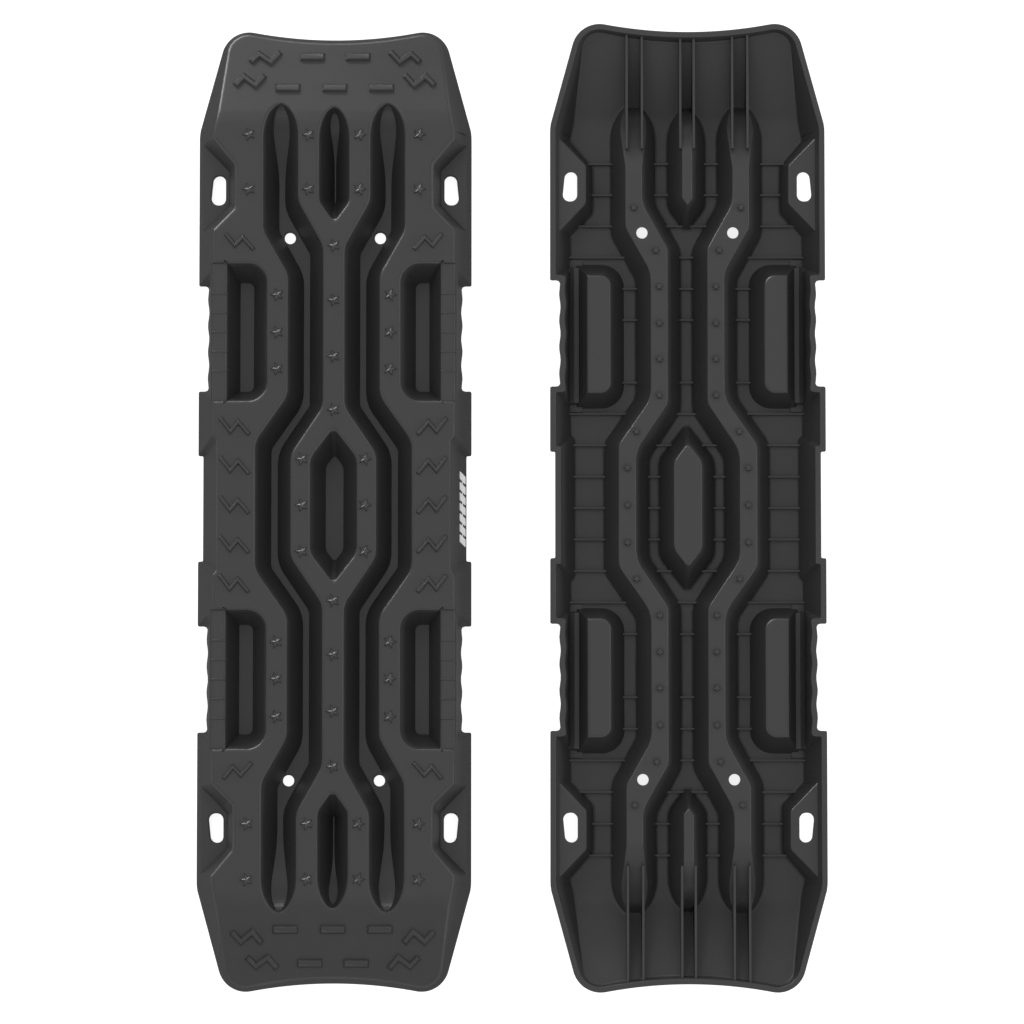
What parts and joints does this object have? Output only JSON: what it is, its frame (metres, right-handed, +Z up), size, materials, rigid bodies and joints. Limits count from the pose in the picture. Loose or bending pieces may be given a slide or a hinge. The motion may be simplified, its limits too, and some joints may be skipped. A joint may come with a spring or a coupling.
{
  "type": "tire traction mats",
  "caption": "Pair of rigid recovery boards with studded decks, deep drafted channels and hand grips, one lying deck up and one turned over.",
  "frame": {"origin": "bottom centre of the box round both boards, on the ground midway between them", "axes": "+Y along the boards' length, +X from the face-up board to the turned one, +Z up from the ground"},
  "size_m": [0.692, 1.0648, 0.058],
  "materials": {
    "board_plastic": "fine moulded grain, satin black, slightly scuffed on raised edges",
    "white_print": "flat white printed ink"
  },
  "bodies": {
    "ground_board": {"board_face_up": "board_plastic", "side_mark": "white_print"},
    "turned_board": {"board_underside_up": "board_plastic"}
  },
  "joints": [
    {"name": "turned_board_lift", "type": "slide", "parent": "ground_board", "child": "turned_board", "axis": [0, 0, 1], "range_m": [0, 0.3]}
  ]
}
